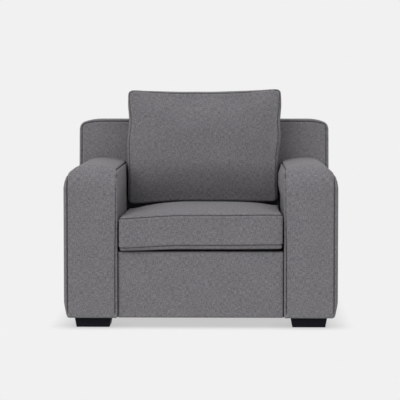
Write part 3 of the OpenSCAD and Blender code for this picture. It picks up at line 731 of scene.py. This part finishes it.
def bulgeInside(arm, amount):
    # the inner side panel swells towards the seat, in front of the back cushion
    def swollen(p):
        s = armSettings
        near = ease(inner + 0.06 - p.x, 0.0, 0.05)
        tall = ease(p.z, *s["bulgeFrom"]) * (1 - ease(p.z, s["bulgeUntil"], armTop - 0.004))
        deep = ease(p.y, armFront + 0.004, armFront + 0.09) * (1 - ease(p.y, 0.0, 0.085))
        p.x -= amount * near * tall * deep
        return p
    moveVertices(arm, swollen)


def sideRoute(piece, x):
    # up the front and back along the top, where a plane across X cuts the arm
    centre = Vector((x, 0.10, 0.25))
    topOnly = 0.57
    route = sliceRoute(piece, (x, 0, 0), (1, 0, 0),
                       lambda p: math.atan2(p.z - centre.z, centre.y - p.y),
                       lambda p: p.z > bodyBottom + 0.003 and not (p.y > backFoot - 0.03 and p.z < topOnly))
    route = [p for p in route if p.y < backFoot + (p.z - deckHeight) * backRake - 0.006]
    return evenly(softenRoute(route, 4), seamSettings["step"])


armBlank = makeArm()
print("arm shaped:", len(armBlank.data.vertices), "points")
for sideName in ("right", "left"):
    piece = copyPiece(armBlank, sideName + "ArmCover")
    bulgeInside(piece, armSettings["bulge"][sideName])
    seams = [sideRoute(piece, outer - armSettings["outerSeam"]),
             sideRoute(piece, inner + armSettings["innerSeam"])]
    for p in seams[1]:
        p.x -= armSettings["innerDrift"] * ease(p.z, *armSettings["driftFrom"])
    seams = [layOn(piece, softenRoute(route, 3)) for route in seams]
    for route in seams:
        pressSeam(piece, route, armSettings["seamDepth"], armSettings["seamWidth"])
    mapCloth(piece, byFacing)
    if sideName == "left":
        mirrorPiece(piece)
    finishPiece(piece, "woven_cloth", [sideName + "_arm_cover", sideName + "_arm_foam"])
bpy.data.objects.remove(armBlank)
print("arms done")

backSettings = {
    "topDrop": 0.030,       # the top corners fall away in a long curve
    "dropWidth": 0.088,
    "frontRadius": 0.010,
    "topRadius": 0.016,
    "floorEdge": 0.003,
    "topLift": 0.001,
    "plump": 0.003,
    "voxel": 0.0065,
    "seamInset": 0.0095,
    "seamTop": 0.0055,
    "seamDepth": 0.0085,
    "seamWidth": 0.0024,
}
backLow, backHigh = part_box("back_cover")


def backFace(z):
    return backFoot + max(0.0, z - deckHeight) * backRake


def cornerDrop(x, halfWidth, width):
    # how far the top edge has fallen at this place across the back
    over = min(1.0, max(0.0, abs(x) - (halfWidth - width)) / width)
    return backSettings["topDrop"] * (1 - math.sqrt(max(0.0, 1 - over * over)))


def makeBack():
    s = backSettings
    back = addBlock("backCover", (backLow.x, backFoot, bodyBottom), (backHigh.x, backHigh.y, backHigh.z))
    cutAt(back, (0, 0, deckHeight), (0, 0, 1))
    slideEdges(back, lambda m, w: abs(w.x) > 0.9 and m.y < backFoot + 0.01 and m.z > backHigh.z - 0.01,
               (0, backFace(backHigh.z) - backFoot, 0))
    roundEdges(back, [
        (s["frontRadius"], lambda m, w: m.y < backFace(backHigh.z) + 0.01 and m.z > deckHeight),
        (s["topRadius"], lambda m, w: abs(w.y) > 0.9 and m.z > backHigh.z - 0.01),
        (s["floorEdge"], lambda m, w: m.z < bodyBottom + 0.01),
    ])
    evenMesh(back, s["voxel"], 3)

    def shaped(p):
        drop = cornerDrop(p.x, backHigh.x, s["dropWidth"])
        p.z -= (drop - s["topLift"]) * ease(p.z, 0.50, backHigh.z - 0.01)
        plump = (1 - (p.x / 0.53) ** 2) * ease(p.z, 0.30, 0.45) * (1 - ease(p.z, 0.70, backHigh.z))
        p.y -= s["plump"] * plump * ease(backHigh.y - p.y, 0.05, 0.10)
        return tuckHem(p, ease(abs(p.x), backHigh.x - 0.05, backHigh.x - 0.004))
    moveVertices(back, shaped)
    return back


def backOutline(inset, topInset, bottom):
    # up one side, over the top and down the other, on the front of the back unit
    route = []
    left, right = backLow.x + inset, backHigh.x - inset
    shoulder, sideSteps, topSteps = 0.70, 60, 200
    for i in range(sideSteps):
        route.append(Vector((left, 0, bottom + (shoulder - bottom) * i / sideSteps)))
    for i in range(topSteps + 1):
        x = left + (right - left) * i / topSteps
        drop = cornerDrop(x, backHigh.x, backSettings["dropWidth"])
        route.append(Vector((x, 0, backHigh.z - topInset - drop)))
    for i in range(sideSteps):
        route.append(Vector((right, 0, shoulder - (shoulder - bottom) * i / sideSteps)))
    return softenRoute(evenly(route, seamSettings["step"]), 6)


backCover = makeBack()
outline = backOutline(backSettings["seamInset"], backSettings["seamTop"], 0.10)
for p in outline:
    p.y = backFace(p.z) - 0.01
frontSeam = layOn(backCover, outline)
pressSeam(backCover, frontSeam, backSettings["seamDepth"], backSettings["seamWidth"])
mapCloth(backCover, byFacing)
finishPiece(backCover, "woven_cloth", ["back_cover", "back_foam"])

outsideSettings = {
    "dropWidth": 0.071,
    "cuts": 40,
    "plump": 0.002,
    "rim": 0.0025,
    "hemInset": (0.014, 0.0145),
    "hemRadius": 0.0018,
}
outsideLow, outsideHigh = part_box("outside_back_panel")
outside = addBlock("outsideBackPanel", outsideLow, outsideHigh)
choose(outside)
bpy.ops.object.mode_set(mode="EDIT")
bpy.ops.mesh.select_all(action="SELECT")
bpy.ops.mesh.subdivide(number_cuts=outsideSettings["cuts"])
bpy.ops.object.mode_set(mode="OBJECT")


def outsideShape(p):
    s = outsideSettings
    p.z -= cornerDrop(p.x, outsideHigh.x, s["dropWidth"]) * ease(p.z, 0.5, 0.75)
    edge = min(outsideHigh.x - abs(p.x), p.z - outsideLow.z, outsideHigh.z - p.z)
    if p.y > outsideLow.y + 0.002:
        p.y += s["plump"] * ease(edge, 0.0, 0.12) - s["rim"] * (1 - ease(edge, 0.0, 0.012))
    return p


moveVertices(outside, outsideShape)
mapCloth(outside, byFacing)
finishPiece(outside, "woven_cloth", ["outside_back_panel"])
hemRoute = []
for p in backOutline(*outsideSettings["hemInset"], bodyBottom + 0.004):
    hemRoute.append(Vector((p.x, outsideHigh.y - 0.0026, p.z)))
backHem = sewWelt("outsideBackHem", evenly(hemRoute, 0.006), outsideSettings["hemRadius"])
mapCloth(backHem, byFacing)
finishPiece(backHem, "woven_cloth")
print("back unit done")

railSettings = {
    "radius": 0.014,
    "floorEdge": 0.003,
    "endRadius": 0.004,
    "plump": 0.002,
    "setBack": 0.003,
    "voxel": 0.006,
}
railLow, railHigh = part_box("front_rail_cover")
railLow.y += railSettings["setBack"]
rail = addBlock("frontRailCover", railLow, railHigh)
railFront = lambda m: m.y < railLow.y + 0.01
roundEdges(rail, [
    (railSettings["radius"], lambda m, w: abs(w.x) > 0.9 and m.z > railHigh.z - 0.01 and railFront(m)),
    (railSettings["floorEdge"], lambda m, w: m.z < railLow.z + 0.01),
    (railSettings["endRadius"], lambda m, w: abs(w.z) > 0.9 and railFront(m)),
])
evenMesh(rail, railSettings["voxel"], 2)


def railShape(p):
    across = 1 - (p.x / railHigh.x) ** 4
    up = ease(p.z, railLow.z, 0.12) * (1 - ease(p.z, 0.20, railHigh.z))
    if p.y < -0.42:
        p.y -= railSettings["plump"] * across * up
    return dropRim(p, railLow.y)


moveVertices(rail, railShape)
mapCloth(rail, byFacing)
finishPiece(rail, "woven_cloth", ["front_rail_cover", "front_rail_foam"])
print("front rail done")


def makeSheet(name, node, sag, slotName, inset=0.0, cuts=30):
    low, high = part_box(node)
    low.x, high.x = low.x + inset, high.x - inset
    bpy.ops.object.select_all(action="DESELECT")
    middle = (low + high) / 2
    bpy.ops.mesh.primitive_plane_add(size=1, location=(middle.x, middle.y, middle.z))
    piece = bpy.context.object
    piece.name = piece.data.name = name
    piece.scale = (high.x - low.x, high.y - low.y, 1)
    bpy.ops.object.transform_apply(location=True, rotation=True, scale=True)
    bpy.ops.object.mode_set(mode="EDIT")
    bpy.ops.mesh.subdivide(number_cuts=cuts)
    bpy.ops.object.mode_set(mode="OBJECT")

    def hung(p):
        a = 1 - ((p.x - middle.x) / (high.x - middle.x)) ** 2
        b = 1 - ((p.y - middle.y) / (high.y - middle.y)) ** 2
        p.z -= sag * a * b
        return p
    moveVertices(piece, hung)
    useModifier(piece, "SOLIDIFY", thickness=0.0008, offset=0)
    finishPiece(piece, slotName, [node])
    return piece


sheetSettings = {"deckSag": 0.0004, "dustSag": 0.004, "dustInset": 0.012}
makeSheet("deckCloth", "deck_cloth", sheetSettings["deckSag"], "deck_cloth")
makeSheet("dustCover", "dust_cover", sheetSettings["dustSag"], "dust_cloth",
          sheetSettings["dustInset"])
print("deck cloth and dust cover done")

footSettings = {"edge": 0.0016, "sharp": 35}
footNames = [n for n in frame["nodes"] if n.endswith("_foot")]
for node in sorted(footNames):
    words = node.split("_")
    foot = copyPiece(frame["nodes"][node], words[0] + words[1].capitalize() + "Foot")
    foot.parent = None
    foot.matrix_world = Matrix.Identity(4)
    for key in list(foot.keys()):
        del foot[key]
    choose(foot)
    bpy.ops.object.mode_set(mode="EDIT")
    bpy.ops.mesh.select_all(action="SELECT")
    bpy.ops.mesh.remove_doubles(threshold=0.00002)
    bpy.ops.object.mode_set(mode="OBJECT")
    useModifier(foot, "BEVEL", limit_method="ANGLE", angle_limit=math.radians(40),
                width=footSettings["edge"], segments=3)
    finishPiece(foot, "black_wood", [node], smooth=False)
    choose(foot)
    bpy.ops.object.shade_smooth_by_angle(angle=math.radians(footSettings["sharp"]))
print("feet done")


def swell(piece, pressure, limit, frames=20):
    # a short cloth simulation: air presses the case outwards
    start = [v.co.copy() for v in piece.data.vertices]
    choose(piece)
    cloth = piece.modifiers.new("swell", "CLOTH")
    air = cloth.settings
    air.use_pressure = True
    air.uniform_pressure_force = pressure
    air.tension_stiffness = 40
    air.compression_stiffness = 1
    air.shear_stiffness = 2
    air.bending_stiffness = 20
    air.effector_weights.gravity = 0
    cloth.collision_settings.use_collision = False
    cloth.point_cache.frame_end = frames
    for step in range(1, frames + 1):
        bpy.context.scene.frame_set(step)
    bpy.ops.object.modifier_apply(modifier=cloth.name)
    bpy.context.scene.frame_set(1)
    for vertex, old in zip(piece.data.vertices, start):
        shift = vertex.co - old
        if shift.length > limit:
            vertex.co = old + shift * (limit / shift.length)
    piece.data.update()
    return start


def carryRoute(route, before, piece):
    # takes a route along with the skin that it lies on
    tree = treeOf(before)
    out = []
    for point in route:
        near = tree.find_n(point, 8)
        shift = Vector()
        for place, index, away in near:
            shift += piece.data.vertices[index].co - before[index]
        out.append(point + shift / len(near))
    return out


def boxLoop(width, depth, radius, height, middle, lie):
    # a rounded rectangle, laid into place by lie(across, along, height)
    route = []
    for i, (sx, sy) in enumerate(((1, 1), (-1, 1), (-1, -1), (1, -1))):
        for step in range(9):
            turn = math.pi / 2 * (i + step / 8)
            route.append(lie(sx * (width / 2 - radius) + radius * math.cos(turn) + middle[0],
                             sy * (depth / 2 - radius) + radius * math.sin(turn) + middle[1], height))
    return evenly(route, 0.004, True)


def fitAlong(piece, loops, axis, low, high):
    # stretches the piece and its seams along one axis, to the given ends
    values = [v.co[axis] for v in piece.data.vertices]
    start, end = min(values), max(values)
    for point in [v.co for v in piece.data.vertices] + [p for route in loops for p in route]:
        point[axis] = low + (point[axis] - start) * (high - low) / (end - start)
    piece.data.update()


def levelCrown(piece, axis, seamLow, seamHigh, low, high, fullness=1.0):
    # the crowns beyond the two seam levels are brought to the given heights
    values = [v.co[axis] for v in piece.data.vertices]
    bottom, top = min(values), max(values)
    for vertex in piece.data.vertices:
        at = vertex.co[axis]
        if at > seamHigh:
            share = (at - seamHigh) / (top - seamHigh)
            vertex.co[axis] = seamHigh + (high - seamHigh) * share ** fullness
        elif at < seamLow:
            vertex.co[axis] = seamLow - (seamLow - at) * (seamLow - low) / (seamLow - bottom)
    piece.data.update()


seatSettings = {
    "seamTop": 0.4306,
    "seamBottom": 0.3140,
    "floorLevel": 0.2965,
    "cornerRadius": 0.013,
    "edgeRadius": 0.008,
    "lowerRadius": 0.018,
    "voxel": 0.012,
    "pressure": 0.8,
    "limit": 0.05,
    "fullness": 0.65,       # below 1, the crown rises faster beside its seam
    "rearFall": (0.010, 0.019),     # the top slopes, and again under the back cushion
    "leftSink": 0.012,
    "rightLift": 0.003,
    "seamDepth": 0.0060,
    "seamWidth": 0.0028,
    "welt": 0.0016,
}
seatLow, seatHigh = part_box("seat_cushion_cover")


def makeSeatCushion():
    s = seatSettings
    width, depth = seatHigh.x - seatLow.x, seatHigh.y - seatLow.y
    piece = addBlock("seatCushion", (seatLow.x + 0.004, seatLow.y + 0.003, s["floorLevel"]),
                     (seatHigh.x - 0.004, seatHigh.y - 0.004, s["seamTop"] + 0.002))
    roundEdges(piece, [(s["cornerRadius"], lambda m, w: abs(w.z) > 0.9),
                       (s["edgeRadius"], lambda m, w: abs(w.z) < 0.1 and m.z > s["seamBottom"]),
                       (s["lowerRadius"], lambda m, w: abs(w.z) < 0.1 and m.z < s["seamBottom"])])
    evenMesh(piece, s["voxel"], 1)
    middle = ((seatLow.x + seatHigh.x) / 2, (seatLow.y + seatHigh.y) / 2)
    loops = [boxLoop(width - 0.010, depth - 0.010, 0.012, z, middle, lambda x, y, h: Vector((x, y, h)))
             for z in (s["seamBottom"], s["seamTop"])]
    before = swell(piece, s["pressure"], s["limit"])
    loops = [carryRoute(route, before, piece) for route in loops]
    fitAlong(piece, loops, 0, seatLow.x - 0.001, seatHigh.x + 0.001)
    fitAlong(piece, loops, 1, seatLow.y - 0.002, seatHigh.y - 0.002)
    levelCrown(piece, 2, s["floorLevel"] + 0.004, s["seamTop"], seatLow.z + 0.0015, seatHigh.z + 0.001,
               s["fullness"])
    useModifier(piece, "SMOOTH", factor=0.5, iterations=2)
    useModifier(piece, "SUBSURF", levels=1, render_levels=1)

    def settled(p):
        # the left side has sunk a little, the right lifts
        sink = s["rightLift"] * ease(p.x, 0.10, 0.32) - s["leftSink"] * ease(-p.x, 0.06, 0.32)
        share = 0.35 + 0.65 * ease(p.z, 0.292, 0.32)
        fall = s["rearFall"][0] * ease(p.y, -0.20, 0.08) + s["rearFall"][1] * ease(p.y, 0.08, 0.17)
        p.z -= fall * ease(p.z, s["seamTop"] - 0.01, s["seamTop"] + 0.015)
        p.z = max(seatLow.z + 0.0012, p.z + sink * share)
        return p
    moveVertices(piece, settled)
    loops = [layOn(piece, softenRoute([settled(p) for p in route], 5, True)) for route in loops]
    for route in loops:
        pressSeam(piece, route, s["seamDepth"], s["seamWidth"], 0.001, True)
    return piece, loops


def sewWelts(name, piece, loops, radius, slotNodes, body):
    # one welt along each seam of a cushion, as one piece
    welts = [sewWelt("welt", layOn(piece, evenly(r, 0.006, True), 0.0007), radius, True) for r in loops]
    joined = joinAs(name, welts)
    mapCloth(joined, byFacing)
    return finishPiece(joined, "woven_cloth", slotNodes, body)


seatCushion, seatLoops = makeSeatCushion()
mapCloth(seatCushion, byFacing)
finishPiece(seatCushion, "woven_cloth", ["seat_cushion_cover", "seat_cushion_foam"], "seat_cushion")
sewWelts("seatCushionWelts", seatCushion, seatLoops, seatSettings["welt"], ["seat_cushion_welts"],
         "seat_cushion")
print("seat cushion done:", len(seatCushion.data.polygons), "faces")

pillowSettings = {
    "foot": (0, 0.2792, 0.427),     # where the lower rear edge stands
    "lean": 6,
    "width": 0.637,
    "height": 0.4665,
    "tuck": 0.042,          # the front curves back under its lower edge
    "tuckHeight": 0.17,
    "sag": 0.014,           # the lower front edge hangs over the seat
    "leftSag": 0.011,
    "sagFrom": (0.100, 0.118),
    "floorLevel": 0.004,
    "topSag": 0.008,
    "topTilt": 0.0025,
    "narrow": 0.022,        # the share taken off the width between the arms
    "shift": (-0.003, 0.007),       # sideways at the foot, and further above the arms
    "sidePull": 0.006,
    "zipLine": 0.087,
    "grooveDepth": 0.0122,
    "grooveReach": (0.008, 0.016),
    "seamFront": -0.150,
    "seamRear": -0.014,
    "frontCrown": 0.0275,
    "cornerRadius": 0.020,
    "voxel": 0.010,
    "pressure": 0.8,
    "limit": 0.05,
    "seamDepth": 0.0060,
    "seamWidth": 0.0028,
    "welt": 0.0016,
}


def makePillow():
    s = pillowSettings
    half, height = s["width"] / 2, s["height"]
    piece = addBlock("backCushion", (-half + 0.006, s["seamFront"], 0.006),
                     (half - 0.006, s["seamRear"], height - 0.004))
    roundEdges(piece, [(s["cornerRadius"], lambda m, w: abs(w.y) > 0.9),
                       (0.009, lambda m, w: abs(w.y) < 0.1)])
    evenMesh(piece, s["voxel"], 2)
    seamLevels = (s["seamFront"] + 0.002, s["seamRear"] - 0.002)
    loops = [boxLoop(2 * half - 0.016, height - 0.014, 0.018, y, (0, height / 2),
                     lambda x, z, h: Vector((x, h, z))) for y in seamLevels]
    before = swell(piece, s["pressure"], s["limit"])
    loops = [carryRoute(route, before, piece) for route in loops]
    fitAlong(piece, loops, 0, -half, half)
    fitAlong(piece, loops, 2, 0.003, height)
    levelCrown(piece, 1, s["seamFront"], s["seamRear"], s["seamFront"] - s["frontCrown"], -0.001)
    useModifier(piece, "SMOOTH", factor=0.5, iterations=3)
    useModifier(piece, "SUBSURF", levels=1, render_levels=1)
    place = Matrix.Translation(s["foot"]) @ Matrix.Rotation(math.radians(-s["lean"]), 4, "X")

    def settled(p):
        top = ease(p.z, 0.30, 0.44)
        p.z -= s["topSag"] * top * (1 - min(1.0, (abs(p.x) / 0.27)) ** 2)
        p.z += s["topTilt"] * top * p.x / 0.3
        p.x *= 1 - s["narrow"] * (1 - ease(p.z, 0.17, 0.27))
        p.x += s["shift"][1] * ease(p.z, 0.18, 0.32) + s["shift"][0]
        waist = ease(p.z, 0.24, 0.33) * (1 - ease(p.z, 0.33, 0.42)) * ease(abs(p.x), 0.24, 0.30)
        p.x -= math.copysign(s["sidePull"], p.x) * waist
        under = max(0.0, 1 - p.z / s["tuckHeight"]) ** 2
        p.y += s["tuck"] * under * ease(-p.y, 0.02, 0.15)
        zipNear = 1 - ease(abs(p.y + s["zipLine"]), *s["grooveReach"])
        zipNear *= 1 - ease(abs(p.x), 0.270, 0.285)
        p.z = max(s["floorLevel"] + s["grooveDepth"] * zipNear, p.z)
        hang = (1 - ease(p.z, 0.0, 0.12)) * ease(-p.y, *s["sagFrom"])
        p.z -= hang * (s["leftSag"] * ease(-p.x, 0.08, 0.28) + s["sag"])
        return place @ p
    loops = [[settled(p) for p in route] for route in loops]
    moveVertices(piece, settled)
    loops = [layOn(piece, softenRoute(route, 5, True)) for route in loops]
    for route in loops:
        pressSeam(piece, route, s["seamDepth"], s["seamWidth"], 0.001, True)
    return piece, loops


pillow, pillowLoops = makePillow()
mapCloth(pillow, byFacing)
finishPiece(pillow, "woven_cloth", ["back_cushion_cover", "back_cushion_filling"], "back_cushion")
sewWelts("backCushionWelts", pillow, pillowLoops, pillowSettings["welt"], ["back_cushion_welts"],
         "back_cushion")
print("back cushion done:", len(pillow.data.polygons), "faces")
